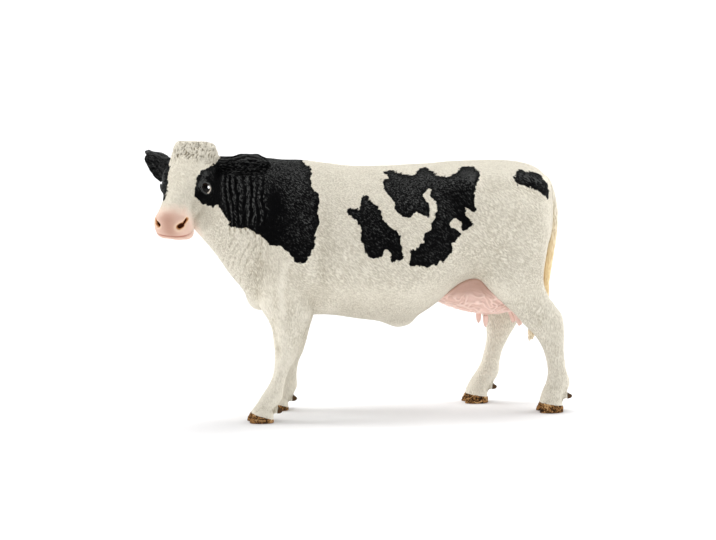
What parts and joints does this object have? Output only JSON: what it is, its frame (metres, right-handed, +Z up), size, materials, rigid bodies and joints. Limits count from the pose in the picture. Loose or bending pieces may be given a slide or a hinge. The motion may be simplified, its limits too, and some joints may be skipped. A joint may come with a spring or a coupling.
{
  "type": "toy farm animal figure",
  "caption": "Toy farm animal figure: a standing black-and-white dairy cow with its head turned to its left, in solid painted plastic.",
  "frame": {"origin": "middle of the bounding box of the whole figure, on the ground under its hooves", "axes": "+X towards the tail, -X towards the head, -Y the animal's left side, +Z up"},
  "size_m": [0.1302, 0.0444, 0.0861],
  "materials": {
    "coat": "painted off-white coat with black patches, engraved hair and brown hooves",
    "head_coat": "painted white face, black cheeks and neck, pink muzzle, glossy eyes",
    "ear_coat": "painted black with engraved hair",
    "udder_skin": "painted pink, with raised veins",
    "tail_coat": "painted off-white with a creamy switch"
  },
  "bodies": {
    "root": {"torso": "coat", "head_and_neck": "head_coat", "left_ear": "ear_coat", "right_ear": "ear_coat", "left_front_leg": "coat", "right_front_leg": "coat", "left_hind_leg": "coat", "right_hind_leg": "coat", "udder": "udder_skin", "tail": "tail_coat"}
  },
  "joints": []
}
